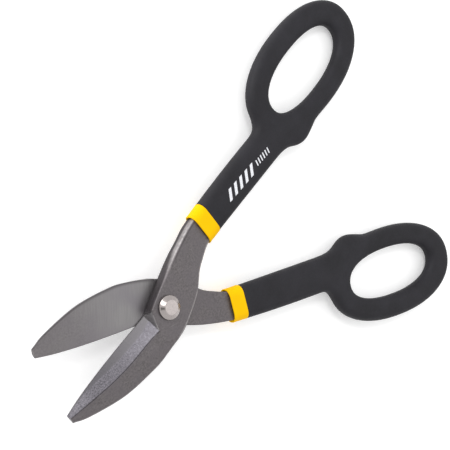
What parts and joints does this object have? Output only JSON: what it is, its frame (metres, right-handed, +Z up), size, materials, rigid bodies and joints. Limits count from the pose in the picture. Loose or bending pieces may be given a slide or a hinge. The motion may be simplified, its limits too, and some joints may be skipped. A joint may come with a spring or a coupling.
{
  "type": "tin snips",
  "caption": "Straight-pattern tin snips: forged levers crossing on a pivot bolt, with bevelled blades and dipped vinyl loop handles.",
  "frame": {"origin": "centre of the pivot bolt's flat lower end, on the pivot axis", "axes": "+Z up the pivot axis from the nut to the bolt head; +X from the pivot to the handles, halving the angle between the two levers; +Y towards the front lever's handle"},
  "size_m": [0.2399, 0.1732, 0.0222],
  "materials": {
    "forged_steel": "satin drop-forged steel, ground on the cutting faces",
    "bright_steel": "bright nickel-plated steel",
    "black_vinyl": "satin dipped vinyl",
    "yellow_vinyl": "satin dipped vinyl"
  },
  "bodies": {
    "back_lever": {"back_blade_lever": "forged_steel", "back_collar": "yellow_vinyl", "back_grip": "black_vinyl"},
    "front_lever": {"front_blade_lever": "forged_steel", "front_collar": "yellow_vinyl", "front_grip": "black_vinyl", "pivot_bolt": "bright_steel", "pivot_washer": "bright_steel", "pivot_nut": "bright_steel"}
  },
  "joints": [
    {"name": "blade_pivot", "type": "hinge", "parent": "back_lever", "child": "front_lever", "pos_m": [0, 0, 0.0135], "axis": [0, 0, 1], "range_deg": [-26.8, 25]}
  ]
}
